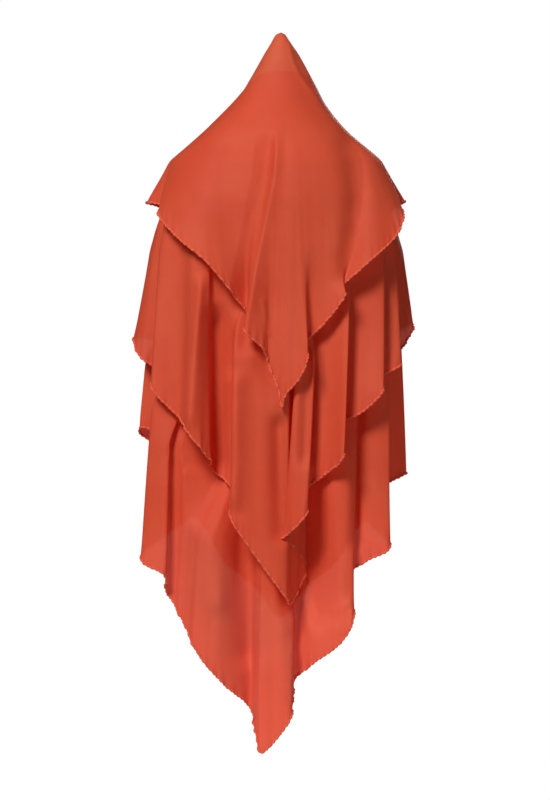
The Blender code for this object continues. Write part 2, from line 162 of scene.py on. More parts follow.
TOP_FOLDS = (
    Fold(1, -0.02, -0.92, 0.955, 0.45),
    Fold(3, 0.005, -0.95, 1.000, 0.45),
    Fold(5, 0.04, -0.96, 0.965, 0.45),
    Fold(7, 0.15, -0.98, 0.920, 0.50),
    Fold(9, 0.21, -0.98, 0.864, 0.55),
    Fold(13, 0.19, -0.83, 0.828, 0.60),
    Fold(20, 0.33, -0.86, 0.780, 0.60),
    Fold(28, 0.49, -0.90, 0.708, 0.78),
    Fold(33, 0.46, -0.82, 0.684, 0.78),
    Fold(46, 0.67, -0.80, 0.618, 0.55),
    Fold(62, 0.88, -0.62, 0.550),
    Fold(76, 0.95, -0.42, 0.487),
    Fold(84, 0.90, -0.22, 0.463),
    Fold(93, 0.96, -0.05, 0.452),
    Fold(105, 0.85, 0.24, 0.476),
    Fold(118, 0.84, 0.52, 0.515),
    Fold(132, 0.60, 0.62, 0.560),
    Fold(146, 0.48, 0.86, 0.630),
    Fold(162, 0.24, 0.76, 0.690),
    Fold(180, 0.00, 0.93, 0.780),
    Fold(197, -0.23, 0.75, 0.700),
    Fold(213, -0.47, 0.87, 0.635),
    Fold(227, -0.61, 0.61, 0.555),
    Fold(241, -0.85, 0.54, 0.515),
    Fold(254, -0.87, 0.25, 0.475),
    Fold(267, -1.05, -0.12, 0.454),
    Fold(276, -0.89, -0.30, 0.465),
    Fold(285, -0.95, -0.47, 0.487),
    Fold(300, -0.80, -0.72, 0.550),
    Fold(317, -0.57, -0.86, 0.617),
    Fold(333, -0.35, -0.84, 0.710, 0.35),
    Fold(344, -0.23, -0.76, 0.768, 0.50),
    Fold(351, -0.28, -0.97, 0.800, 0.40),
    Fold(355, -0.14, -0.93, 0.845, 0.50),
    Fold(358, -0.10, -0.88, 0.885, 0.50),
)

MIDDLE_FOLDS = (
    Fold(1, 0.02, -0.95, 0.985),
    Fold(5, 0.07, -0.82, 1.000),
    Fold(8, 0.15, -0.66, 0.965),
    Fold(11, 0.17, -0.60, 0.932),
    Fold(14, 0.04, -0.88, 0.890),
    Fold(16, 0.03, -0.97, 0.884),
    Fold(20, 0.18, -1.00, 0.845),
    Fold(25, 0.18, -0.80, 0.804),
    Fold(31, 0.31, -0.83, 0.777),
    Fold(38, 0.45, -0.94, 0.744),
    Fold(45, 0.40, -0.74, 0.692),
    Fold(54, 0.58, -0.76, 0.668),
    Fold(62, 0.73, -0.75, 0.632),
    Fold(68, 0.72, -0.60, 0.606),
    Fold(75, 0.86, -0.52, 0.586),
    Fold(82, 0.78, -0.36, 0.572),
    Fold(90, 0.90, -0.20, 0.548),
    Fold(100, 0.95, 0.03, 0.513),
    Fold(112, 0.80, 0.28, 0.540),
    Fold(124, 0.82, 0.52, 0.580),
    Fold(138, 0.58, 0.58, 0.625),
    Fold(150, 0.45, 0.84, 0.690),
    Fold(165, 0.21, 0.74, 0.735),
    Fold(180, 0.00, 0.92, 0.800),
    Fold(195, -0.20, 0.73, 0.740),
    Fold(210, -0.46, 0.84, 0.690),
    Fold(223, -0.59, 0.58, 0.625),
    Fold(237, -0.84, 0.50, 0.580),
    Fold(249, -0.86, 0.25, 0.550),
    Fold(261, -1.05, -0.03, 0.536),
    Fold(272, -1.01, -0.25, 0.571),
    Fold(280, -0.86, -0.36, 0.600),
    Fold(288, -0.93, -0.60, 0.626),
    Fold(304, -0.73, -0.68, 0.678),
    Fold(314, -0.66, -0.86, 0.706),
    Fold(321, -0.52, -0.86, 0.747),
    Fold(327, -0.50, -0.70, 0.766),
    Fold(334, -0.34, -0.71, 0.804),
    Fold(341, -0.37, -0.93, 0.846),
    Fold(351, -0.22, -0.96, 0.905),
)

BOTTOM_FOLDS = (
    Fold(358, -0.13, -0.97, 1.000),
    Fold(7, 0.07, -0.94, 0.952),
    Fold(14, 0.09, -0.74, 0.904),
    Fold(23, 0.21, -0.82, 0.881),
    Fold(33, 0.43, -0.90, 0.848),
    Fold(42, 0.52, -0.86, 0.810),
    Fold(49, 0.46, -0.68, 0.760),
    Fold(58, 0.61, -0.68, 0.737),
    Fold(66, 0.78, -0.60, 0.712),
    Fold(76, 0.46, -0.34, 0.650),
    Fold(88, 0.78, -0.12, 0.628),
    Fold(97, 0.91, 0.02, 0.616),
    Fold(110, 0.74, 0.26, 0.632),
    Fold(123, 0.78, 0.54, 0.662),
    Fold(137, 0.55, 0.60, 0.694),
    Fold(150, 0.41, 0.88, 0.740),
    Fold(165, 0.19, 0.76, 0.775),
    Fold(180, 0.00, 0.94, 0.820),
    Fold(195, -0.19, 0.75, 0.776),
    Fold(210, -0.42, 0.87, 0.740),
    Fold(223, -0.56, 0.60, 0.690),
    Fold(237, -0.80, 0.53, 0.650),
    Fold(250, -0.78, 0.25, 0.600),
    Fold(262, -1.03, -0.02, 0.558),
    Fold(271, -0.90, -0.14, 0.562),
    Fold(282, -0.56, -0.34, 0.650),
    Fold(291, -1.00, -0.60, 0.727),
    Fold(296, -0.84, -0.76, 0.755),
    Fold(301, -0.82, -0.66, 0.780),
    Fold(307, -0.76, -0.68, 0.797),
    Fold(314, -0.70, -0.76, 0.822),
    Fold(323, -0.58, -0.90, 0.868),
    Fold(333, -0.40, -0.88, 0.908),
    Fold(343, -0.22, -0.74, 0.940),
    Fold(351, -0.18, -0.92, 0.976),
)

# inset: how many layers lie over the tier. fold_start: where its folds begin at the back,
# as a share of SHOULDER_DROP. fold_bend: how late a fold deepens. flat: width and length of
# the cloth it is cut from. area: the cut's own area. seed: picks its ripples. ripple: how
# strong they are.
Tier = namedtuple(
    "Tier",
    "name hem_name drop half_width half_depth folds"
    " inset fold_start fold_bend flat area seed ripple",
)
TIERS = (
    Tier(
        "top_tier", "top_hem", TOP_DROP, TOP_HALF_WIDTH, TOP_HALF_DEPTH,
        TOP_FOLDS, 0, 0.55, 1.3, (1.10, 0.95), 0.51, 3, 0.5,
    ),
    Tier(
        "middle_tier", "middle_hem", MIDDLE_DROP, MIDDLE_HALF_WIDTH, MIDDLE_HALF_DEPTH,
        MIDDLE_FOLDS, 1, 0.80, 0.8, (1.50, 1.20), 0.90, 8, 1.0,
    ),
    Tier(
        "bottom_tier", "bottom_hem", BOTTOM_DROP, BOTTOM_HALF_WIDTH, BOTTOM_HALF_DEPTH,
        BOTTOM_FOLDS, 2, 0.90, 0.8, (1.70, 1.50), 1.29, 5, 1.2,
    ),
)

# Ripples that run down the cloth between its folds. length: from crest to crest along
# the hem. height: of a crest at the hem. wander: how far it strays sideways, in waves.
Ripple = namedtuple("Ripple", "length height wander")
RIPPLES = (
    Ripple(0.085, 0.0022, 0.45),
    Ripple(0.046, 0.0008, 0.6),
)
HEM_WAVE_LENGTH = 0.026
HEM_WAVE_HEIGHT = 0.0014
HEM_WAVE_DEPTH = 0.022

# Creases on the back of a tier. line: x and z of the points it runs through, from its top.
# width: how far it spreads sideways at its top and at its foot. lift: how high it stands,
# minus for a valley. fall: how deep the cloth falls away on its right, or on its left
# where it is minus, within fall_width, and reach is how far off it comes back.
Crease = namedtuple(
    "Crease", "tier line width foot_width lift fall fall_width reach", defaults=[0.0, 0.016, 0.4]
)
CREASES = (
    # the edge of the flat facet on the right of the hood
    Crease(
        "top_tier",
        (
            (0.015, -0.012), (0.025, -0.058), (0.038, -0.088), (0.056, -0.113),
            (0.090, -0.152),
        ),
        0.006, 0.006, 0.0015, 0.0144,
    ),
    # the long crest down the middle, with a hollow on its left
    Crease(
        "top_tier",
        (
            (-0.012, -0.200), (-0.011, -0.244), (-0.016, -0.309), (-0.029, -0.373),
            (-0.042, -0.440), (-0.055, -0.505), (-0.065, -0.570), (-0.071, -0.612),
        ),
        0.012, 0.020, 0.0050, -0.0190, 0.009, 0.052,
    ),
    # the crests and hollows of the middle tier, from its left
    Crease(
        "middle_tier",
        ((-0.165, -0.500), (-0.176, -0.640), (-0.186, -0.765), (-0.194, -0.850)),
        0.012, 0.015, 0.0150,
    ),
    Crease(
        "middle_tier",
        ((-0.138, -0.560), (-0.138, -0.680), (-0.136, -0.790), (-0.128, -0.940)),
        0.020, 0.026, -0.0230,
    ),
    Crease(
        "middle_tier",
        ((-0.094, -0.700), (-0.097, -0.800), (-0.099, -0.920), (-0.098, -1.010)),
        0.020, 0.022, 0.0140,
    ),
    Crease(
        "middle_tier",
        ((-0.006, -0.790), (-0.004, -0.870), (-0.003, -0.960), (0.000, -1.080)),
        0.016, 0.018, -0.0190,
    ),
    Crease(
        "middle_tier", ((0.058, -0.640), (0.054, -0.760), (0.052, -0.840), (0.050, -0.920)),
        0.014, 0.016, -0.0150,
    ),
    # small wrinkles near the hems
    Crease(
        "top_tier", ((-0.040, -0.555), (-0.030, -0.600), (-0.022, -0.645)), 0.006, 0.006, 0.0022,
    ),
    Crease(
        "bottom_tier", ((0.064, -1.200), (0.092, -1.232), (0.128, -1.258)), 0.006, 0.006, 0.0034,
    ),
    Crease(
        "bottom_tier",
        ((0.076, -1.236), (0.104, -1.212), (0.130, -1.200), (0.150, -1.184)),
        0.006, 0.006, 0.0034,
    ),
    Crease(
        "bottom_tier", ((0.082, -1.070), (0.100, -1.100), (0.112, -1.150)), 0.008, 0.008, 0.0030,
    ),
    # those of the bottom tier
    Crease(
        "bottom_tier",
        ((-0.140, -0.860), (-0.142, -0.980), (-0.140, -1.100), (-0.130, -1.230)),
        0.020, 0.026, 0.0140,
    ),
    Crease(
        "bottom_tier",
        ((-0.084, -0.960), (-0.080, -1.080), (-0.078, -1.220), (-0.070, -1.340)),
        0.024, 0.028, -0.0210,
    ),
    Crease(
        "bottom_tier", ((0.040, -0.980), (0.040, -1.080), (0.038, -1.180), (0.032, -1.290)),
        0.016, 0.018, -0.0150,
    ),
    Crease(
        "bottom_tier", ((0.160, -0.760), (0.158, -0.880), (0.156, -1.000), (0.150, -1.100)),
        0.014, 0.014, -0.0140,
    ),
    # the broad hollow under the right shoulder
    Crease(
        "top_tier",
        (
            (0.128, -0.200), (0.148, -0.270), (0.156, -0.340), (0.150, -0.410),
            (0.136, -0.490), (0.125, -0.550),
        ),
        0.026, 0.018, -0.0110,
    ),
)


def smooth_step(share):
    share = np.clip(share, 0.0, 1.0)
    return share * share * (3.0 - 2.0 * share)


def round_the_loop(rows, per_gap):
    """A smooth closed curve through the rows of a table, per_gap points to each row."""
    before, here = np.roll(rows, 1, axis=0), rows
    after, beyond = np.roll(rows, -1, axis=0), np.roll(rows, -2, axis=0)
    points = []
    for step in range(per_gap):
        t = step / per_gap
        points.append(
            0.5
            * (
                2.0 * here
                + (after - before) * t
                + (2.0 * before - 5.0 * here + 4.0 * after - beyond) * t**2
                + (3.0 * here - before - 3.0 * after + beyond) * t**3
            )
        )
    return np.stack(points, axis=1).reshape(-1, rows.shape[1])


def fold_columns(tier, per_gap):
    """(bearing in radians, foot x, foot y, foot z, late) of each column of the cloth."""
    table = np.array(tier.folds, float)
    turn = np.linspace(0.0, 360.0, len(table), endpoint=False)
    table[:, 0] = (table[:, 0] - turn + 180.0) % 360.0 - 180.0
    fine = round_the_loop(table, per_gap)
    turn = np.linspace(0.0, 360.0, len(fine), endpoint=False)
    bearing = np.radians(fine[:, 0] + turn)
    foot_x = fine[:, 1] * tier.half_width
    foot_y = fine[:, 2] * tier.half_depth
    foot_z = -fine[:, 3] * tier.drop
    return bearing, foot_x, foot_y, foot_z, np.clip(fine[:, 4], 0.0, LATEST_FOLD)


def ease_loop(values, spread_by):
    """The values round a closed loop, without what is narrower than spread_by steps."""
    steps = np.arange(len(values))
    steps = np.minimum(steps, len(values) - steps)
    window = np.exp(-0.5 * (steps / spread_by) ** 2)
    return np.fft.irfft(np.fft.rfft(values) * np.fft.rfft(window / window.sum()), len(values))


def eased_outline():
    """The table of the hood and shoulders at small steps, with its corners eased."""
    table = np.array(BODY)
    drops = np.arange(0.0, table[-1, 0] * SHOULDER_DROP, OUTLINE_STEP)
    window = np.hanning(OUTLINE_EASE + 2)[1:-1]
    window /= window.sum()
    sides = []
    for side in range(1, 5):
        values = np.interp(drops / SHOULDER_DROP, table[:, 0], table[:, side])
        padded = np.pad(values, OUTLINE_EASE // 2, mode="reflect", reflect_type="odd")
        sides.append(np.convolve(padded, window, mode="valid"))
    return drops, sides


OUTLINE_DROPS, OUTLINE_SIDES = eased_outline()


def body_sizes(height):
    """Half widths to the left and right, and half depths to the back and front."""
    scales = (
        SHOULDER_HALF_WIDTH,
        SHOULDER_HALF_WIDTH,
        SHOULDER_HALF_DEPTH,
        SHOULDER_HALF_DEPTH,
    )
    return [
        np.interp(-height, OUTLINE_DROPS, side) * scale
        for side, scale in zip(OUTLINE_SIDES, scales)
    ]


def body_point(bearing, height, inset):
    """Where the cloth lies on the smooth hood and shoulders."""
    left, right, back, front = body_sizes(height)
    sine, cosine = np.sin(bearing), np.cos(bearing)
    half_width = left + (right - left) * (1.0 + sine) / 2.0
    half_depth = front + (back - front) * (1.0 + cosine) / 2.0
    off = (np.degrees(bearing) - CREASE_BEARING) / CREASE_SPREAD
    rise = smooth_step(-height / (0.3 * SHOULDER_DROP)) * smooth_step(
        (SHOULDER_DROP + height) / (0.5 * SHOULDER_DROP)
    )
    crease = CREASE_HEIGHT * rise * np.exp(-off * off)
    from_middle = np.maximum(np.hypot(half_width * sine, half_depth * cosine), 1e-4)
    reach = 1.0 + (crease - inset) / from_middle
    reach = np.maximum(reach, 0.0)
    return half_width * sine * reach, -half_depth * cosine * reach


def forward_share(bearing):
    """0 at the middle of the back, 1 at the middle of the front."""
    return ((1.0 - np.cos(bearing)) / 2.0) ** 2


def seam_height(bearing, inset):
    """Height of the edge along which an inner tier is sewn inside the hood."""
    drop = SEAM_BACK_DROP + (SEAM_FRONT_DROP - SEAM_BACK_DROP) * forward_share(bearing)
    return -drop - SEAM_STEP * (inset - 1)


def row_heights(tier, bearing, foot_z):
    """The heights of each column's points, top first: each row is one row of the cloth."""
    waist = np.maximum(-WAIST * SHOULDER_DROP, foot_z + LEAST_FALL)
    if tier.inset:
        top = seam_height(bearing, tier.inset)
        waist = np.minimum(waist, top - LEAST_UPPER)
    else:
        top = np.zeros_like(waist)
    upper_shares = np.linspace(0.0, 1.0, UPPER_ROWS) ** TOP_ROWS_CLOSER
    fall_shares = np.linspace(0.0, 1.0, FALL_ROWS + 1)[1:]
    upper = [top + (waist - top) * share for share in upper_shares]
    fall = [waist + (foot_z - waist) * share for share in fall_shares]
    return np.array(upper + fall)


def crease_lift(tier, x, y, height):
    """How far the creases of a tier bring its cloth out at the back."""
    lift = np.zeros_like(x)
    for crease in CREASES:
        if crease.tier != tier.name:
            continue
        line = np.array(crease.line)
        steps = np.diff(line, axis=0)
        lengths = np.hypot(steps[:, 0], steps[:, 1])
        before = np.concatenate([[0.0], np.cumsum(lengths)])
        ways = steps / lengths[:, None]
        nearest = np.full(x.shape, FAR_OFF)
        right, along = np.zeros_like(x), np.zeros_like(x)
        for (from_x, from_z), (across, down), length, run in zip(line, ways, lengths, before):
            ahead = (x - from_x) * across + (height - from_z) * down
            side = -(x - from_x) * down + (height - from_z) * across
            beyond = ahead - np.clip(ahead, 0.0, length)
            off = np.hypot(side, beyond)
            closer = off < nearest
            nearest = np.where(closer, off, nearest)
            right = np.where(closer, np.where(side < 0.0, -off, off), right)
            along = np.where(closer, (run + np.clip(ahead, 0.0, length)) / before[-1], along)
        ends = smooth_step(along / CREASE_FADE) * smooth_step((1.0 - along) / CREASE_FADE)
        width = crease.width + (crease.foot_width - crease.width) * along
        ridge = crease.lift * np.exp(-((right / width) ** 2))
        past = right if crease.fall >= 0.0 else -right
        past = np.log1p(np.exp(np.clip(past / CREASE_EDGE, -30.0, 30.0))) * CREASE_EDGE
        fallen = np.tanh(past / crease.fall_width) * np.exp(-((past / crease.reach) ** 2))
        lift += (ridge - abs(crease.fall) * fallen) * ends
    return lift * smooth_step(-y / CREASE_SIDE + 0.5)


def normals_of(grid):
    """The way out of the cloth at each point of a grid that runs once round."""
    along = np.roll(grid, -1, axis=1) - np.roll(grid, 1, axis=1)
    down = np.gradient(grid, axis=0)
    out = np.cross(down, along)
    return out / np.maximum(np.linalg.norm(out, axis=-1), 1e-9)[..., None]


def ripple_heights(tier, grid, fallen):
    """How far each point of a tier is moved out by the ripples of its cloth."""
    rng = np.random.default_rng(tier.seed)
    hem = grid[-1]
    steps = np.linalg.norm(np.roll(hem, -1, axis=0) - hem, axis=1)
    around = np.concatenate([[0.0], np.cumsum(steps)[:-1]])
    girth = steps.sum()
    lengths = np.linalg.norm(np.diff(grid, axis=0), axis=-1)
    down = np.concatenate([np.zeros((1, grid.shape[1])), np.cumsum(lengths, axis=0)])
    turn = 2.0 * math.pi * around / girth
    moved = np.zeros(grid.shape[:2])
    for ripple in RIPPLES:
        waves = round(girth / ripple.length)
        stray = np.zeros_like(moved)
        strength = np.zeros_like(moved)
        for octave in range(1, 5):
            phase, drift, fade = rng.uniform(0.0, 2.0 * math.pi, 3)
            slow = rng.integers(1, 7)
            stray += np.sin(slow * turn[None] + phase + down * (2.2 * octave) + drift) / octave
            strength += np.sin((slow + octave) * turn[None] + fade + down * 3.0 * octave) / octave
        strength = 0.55 + 0.45 * np.tanh(strength)
        wave = np.sin(waves * turn[None] + 2.0 * math.pi * ripple.wander * stray)
        moved += ripple.height * strength * wave
    moved *= tier.ripple * fallen**2
    to_hem = down[-1][None] - down
    near = np.exp(-((to_hem / HEM_WAVE_DEPTH) ** 2))
    waves = round(girth / HEM_WAVE_LENGTH)
    stray = np.sin(5.0 * turn + rng.uniform(0.0, 6.0))
    stray += np.sin(11.0 * turn + rng.uniform(0.0, 6.0))
    moved += HEM_WAVE_HEIGHT * near * np.sin(waves * turn + 2.2 * stray)[None]
    return moved


def tier_grid(tier, per_gap):
    """Points of the tier's cloth: [row, column, xyz]."""
    bearing, foot_x, foot_y, foot_z, late = fold_columns(tier, per_gap)
    heights = row_heights(tier, bearing, foot_z)
    start = -(tier.fold_start + FRONT_SMOOTH * forward_share(bearing)) * SHOULDER_DROP
    fallen = np.clip((start - heights) / (start - foot_z), 0.0, 1.0)
    bend = FALL_BEND + SHORT_FALL_BEND * np.exp((foot_z - start) / SHORT_FALL)
    weight = fallen**bend
    body_x, body_y = body_point(bearing, heights, LAYER_CLEARANCE * tier.inset)
    begun = np.clip((fallen - late) / (1.0 - late), 0.0, 1.0)
    own = begun ** (bend * tier.fold_bend / FALL_BEND)
    eased_x = ease_loop(foot_x, FOLD_EASE * per_gap)
    eased_y = ease_loop(foot_y, FOLD_EASE * per_gap)
    x = body_x + (eased_x - body_x) * weight + (foot_x - eased_x) * own
    y = body_y + (eased_y - body_y) * weight + (foot_y - eased_y) * own * FOLD_DEEPEN
    y -= crease_lift(tier, x, y, heights)
    grid = np.stack([x, y, heights], axis=-1)
    out = normals_of(grid)
    out[..., 2] = 0.0
    grid += out * ripple_heights(tier, grid, fallen)[..., None]
    if not tier.inset:
        grid[0, :, :2] = 0.0
        grid[0, :, 2] = PEAK_HEIGHT
    return grid


def loop_faces(rows, columns):
    """Faces of a sheet whose columns run once round, as corners into row * columns + column."""
    faces = []
    for row in range(rows - 1):
        for column in range(columns):
            beside = (column + 1) % columns
            faces.append(
                (
                    row * columns + column,
                    (row + 1) * columns + column,
                    (row + 1) * columns + beside,
                    row * columns + beside,
                )
            )
    return faces


def with_flare(grid):
    """The grid with one more row below its hem, spreading out to guide the layer under it."""
    hem = grid[-1]
    out = hem[:, :2] / np.maximum(np.linalg.norm(hem[:, :2], axis=1), 1e-6)[:, None]
    fall = np.concatenate([out * FLARE_SPREAD, np.full((len(hem), 1), -1.0)], axis=1)
    return np.concatenate([grid, (hem + fall * FLARE_LENGTH)[None]])


def cloth_tree(grid):
    points = [Vector(point) for point in grid.reshape(-1, 3)]
    return BVHTree.FromPolygons(points, loop_faces(*grid.shape[:2]))


def spread(values, mix, wide, tall):
    """Each value mixed with those round it on the map, which is a loop sideways."""
    mixed = mix([np.roll(values, step, axis=1) for step in range(-wide, wide + 1)], axis=0)
    padded = np.pad(mixed, ((tall, tall), (0, 0)), mode="edge")
    return mix([padded[step : step + len(values)] for step in range(2 * tall + 1)], axis=0)


def tuck_under(grid, outer, clearance):
    """The grid drawn in towards the middle wherever it isn't clear of the layer over it.

    The drawing in is the same for all points on one line out from the middle, so
    the folds keep their order.
    """
    over, own = cloth_tree(with_flare(outer)), cloth_tree(grid)
    top, bottom = grid[..., 2].max(), grid[..., 2].min()
    heights = np.linspace(top, bottom, MAP_ROWS)
    turns = np.linspace(-math.pi, math.pi, MAP_TURNS, endpoint=False)
    room = np.zeros((MAP_ROWS, MAP_TURNS))
    reach = np.zeros_like(room)
    for row, height in enumerate(heights):
        for step, turn in enumerate(turns):
            way = Vector((math.sin(turn), -math.cos(turn), 0.0))
            middle = Vector((0.0, 0.0, height))
            hit = over.ray_cast(middle, way)[3]
            room[row, step] = FAR_OFF if hit is None else hit
            hit = own.ray_cast(middle + way, -way)[3]
            reach[row, step] = 0.0 if hit is None else max(1.0 - hit, 0.0)
    room = spread(room, np.min, SPREAD_COUNT, 0)
    reach = spread(reach, np.max, SPREAD_COUNT, 0)
    share = np.clip((room - clearance) / np.maximum(reach, 1e-3), 0.05, 1.0)
    share = spread(share, np.min, SPREAD_COUNT, 1)
    share = spread(share, np.mean, SPREAD_COUNT, 2)
    turn = np.arctan2(grid[..., 0], -grid[..., 1])
    across = (turn + math.pi) / (2.0 * math.pi) * MAP_TURNS
    down = np.clip((top - grid[..., 2]) / (top - bottom), 0.0, 1.0) * (MAP_ROWS - 1)
    left = np.floor(across).astype(int)
    above = np.minimum(np.floor(down).astype(int), MAP_ROWS - 2)
    across, down = across - left, down - above
    left, right = left % MAP_TURNS, (left + 1) % MAP_TURNS
    drawn = (share[above, left] * (1 - across) + share[above, right] * across) * (1 - down) + (
        share[above + 1, left] * (1 - across) + share[above + 1, right] * across
    ) * down
    return grid * np.stack([drawn, drawn, np.ones_like(drawn)], axis=-1)


def meet_at_seam(grid, loose, outer, gap):
    """The loose grid brought out to the layer over it along its top edge, where it is sewn."""
    over = cloth_tree(outer)
    met = loose.copy()
    for column in range(grid.shape[1]):
        for row in range(grid.shape[0]):
            depth = grid[0, column, 2] - grid[row, column, 2]
            if depth >= SEAM_DEPTH:
                break
            x, y, height = grid[row, column]
            way = Vector((x, y, 0.0)).normalized()
            place, normal = over.ray_cast(Vector((0.0, 0.0, height)), way)[:2]
            slant = max(abs(normal.dot(way)), 0.3)
            reach = math.hypot(place.x, place.y) - gap / slant
            held = 1.0 - smooth_step(depth / SEAM_DEPTH)
            target = np.array([way.x * reach, way.y * reach, height])
            met[row, column] += (target - met[row, column]) * held
    return met


def layered_grids():
    """The three tiers from the outside in, each tucked under the one over it."""
    grids = []
    for tier in TIERS:
        grid = tier_grid(tier, COLUMNS_PER_FOLD)
        if grids:
            loose = tuck_under(grid, grids[-1], LAYER_CLEARANCE)
            grid = meet_at_seam(grid, loose, grids[-1], SEAM_GAP)
        grids.append(grid)
    return grids


def add_piece(name, bm, material):
    mesh = bpy.data.meshes.new(name)
    bm.to_mesh(mesh)
    bm.free()
    mesh.shade_smooth()
    mesh.materials.append(material)
    item = bpy.data.objects.new(name, mesh)
    bpy.context.scene.collection.objects.link(item)
    return item


def cut_face_opening(bm):
    """Cuts the oval out of the front of the hood and brings the cut edge onto the oval."""

    def off_centre(place):
        above = place.z + FACE_CENTRE_DROP
        return math.hypot(place.x / FACE_HALF_WIDTH, above / FACE_HALF_HEIGHT)

    inside = [
        face
        for face in bm.faces
        if face.calc_center_median().y > 0.0 and off_centre(face.calc_center_median()) < 1.0
    ]
    bmesh.ops.delete(bm, geom=inside, context="FACES")
    rim = [
        vert
        for vert in bm.verts
        if vert.is_boundary and vert.co.y > 0.0 and off_centre(vert.co) < 1.3
    ]
    for vert in rim:
        scale = 1.0 / off_centre(vert.co)
        vert.co.x *= scale
        vert.co.z = (vert.co.z + FACE_CENTRE_DROP) * scale - FACE_CENTRE_DROP


def cloth_piece(name, grid, material, with_face, above_seam):
    """One sheet of cloth through the grid, with a map of its length and width in metres."""
    rows, columns = grid.shape[:2]
    bm = bmesh.new()
    bmesh.ops.create_grid(bm, x_segments=columns, y_segments=rows - 1, size=1.0)
    steps = np.linalg.norm(np.diff(grid, axis=0), axis=-1)
    down = np.concatenate([np.zeros((1, columns)), np.cumsum(steps, axis=0)])
    girth = np.linalg.norm(np.roll(grid, -1, axis=1) - grid, axis=-1).sum(axis=1).mean()
    weave = bm.loops.layers.uv.new("cloth")
    seam_shade_layer = bm.verts.layers.float.new("above_seam")
    place = {}
    for vert in bm.verts:
        column = round((vert.co.x + 1.0) / 2.0 * columns)
        row = round((1.0 - vert.co.y) / 2.0 * (rows - 1))
        place[vert] = (column / columns * girth, -down[row, column % columns])
        vert[seam_shade_layer] = above_seam[row, column % columns]
        vert.co = grid[row, column % columns]
    for face in bm.faces:
        for loop in face.loops:
            loop[weave].uv = place[loop.vert]
    bmesh.ops.remove_doubles(bm, verts=bm.verts, dist=1e-6)
    bmesh.ops.recalc_face_normals(bm, faces=bm.faces)
    outwards = sum(
        face.normal.dot(Vector((face.calc_center_median().x, face.calc_center_median().y, 0.0)))
        * face.calc_area()
        for face in bm.faces
    )
    if outwards < 0.0:
        bmesh.ops.reverse_faces(bm, faces=bm.faces)
    if with_face:
        cut_face_opening(bm)
    return add_piece(name, bm, material)


def even_path(points, step):
    """A smooth closed path through the points, at even steps."""
    fine = round_the_loop(points, 8)
    lengths = np.linalg.norm(np.roll(fine, -1, axis=0) - fine, axis=1)
    along = np.concatenate([[0.0], np.cumsum(lengths)])
    count = max(int(round(along[-1] / step)), 12)
    wanted = np.linspace(0.0, along[-1], count, endpoint=False)
    closed = np.concatenate([fine, fine[:1]])
    return np.stack([np.interp(wanted, along, closed[:, axis]) for axis in range(3)], axis=1)


def hem_piece(name, path, out, material):
    """A flat roll that turns over and over along a closed path, as an overlocked edge does."""
    count = len(path)
    along = np.roll(path, -1, axis=0) - np.roll(path, 1, axis=0)
    along /= np.linalg.norm(along, axis=1)[:, None]
    out = out - (out * along).sum(axis=1)[:, None] * along
    out /= np.maximum(np.linalg.norm(out, axis=1), 1e-6)[:, None]
    side = np.cross(along, out)
    length = np.linalg.norm(np.roll(path, -1, axis=0) - path, axis=1).sum()
    twists = max(round(length / HEM_TWIST), 1)
    bm = bmesh.new()
    bmesh.ops.create_grid(bm, x_segments=count, y_segments=HEM_SIDES, size=1.0)
    thread = bm.loops.layers.uv.new("cloth")
    place = {}
    for vert in bm.verts:
        step = round((vert.co.x + 1.0) / 2.0 * count)
        turn = (vert.co.y + 1.0) * math.pi
        place[vert] = (step / count * length, turn / (2.0 * math.pi) * 0.01)
        wide, thick = HEM_HALF_WIDTH * math.cos(turn), HEM_HALF_THICKNESS * math.sin(turn)
        twist = 2.0 * math.pi * twists * step / count
        across = wide * math.cos(twist) - thick * math.sin(twist)
        over = wide * math.sin(twist) + thick * math.cos(twist)
        vert.co = path[step % count] + out[step % count] * across + side[step % count] * over
    for face in bm.faces:
        for loop in face.loops:
            loop[thread].uv = place[loop.vert]
    bmesh.ops.remove_doubles(bm, verts=bm.verts, dist=1e-6)
    bmesh.ops.recalc_face_normals(bm, faces=bm.faces)
    return add_piece(name, bm, material)


def tier_hem(tier, grid, material):
    """The rolled hem along the free edge of a tier."""
    path = even_path(grid[-1], HEM_STEP)
    near = BVHTree.FromPolygons(
        [Vector(point) for point in np.concatenate([grid[-1], 2.0 * grid[-1] - grid[-3]])],
        loop_faces(2, grid.shape[1]),
    )
    ahead = np.roll(path, -1, axis=0) - np.roll(path, 1, axis=0)
    out = np.array([
        -near.find_nearest(Vector(point))[1].cross(Vector(way)) for point, way in zip(path, ahead)
    ])
    return hem_piece(tier.hem_name, path, out, material)


def face_hem(grid, material):
    """The rolled hem round the face opening."""
    wall = cloth_tree(grid)
    path = []
    for turn in np.linspace(0.0, 2.0 * math.pi, FACE_HEM_POINTS, endpoint=False):
        x = FACE_HALF_WIDTH * math.cos(turn)
        z = FACE_HALF_HEIGHT * math.sin(turn) - FACE_CENTRE_DROP
        path.append(wall.ray_cast(Vector((x, 0.0, z)), Vector((0.0, 1.0, 0.0)))[0])
    path = even_path(np.array(path), HEM_STEP)
    out = np.array([0.0, 0.0, -FACE_CENTRE_DROP]) - path
    return hem_piece("face_hem", path, out, material)


def node(tree, kind, **sockets):
    """A shader node with the values of its named sockets set."""
    made = tree.nodes.new(kind)
    for socket, value in sockets.items():
        made.inputs[socket.replace("_", " ")].default_value = value
    return made


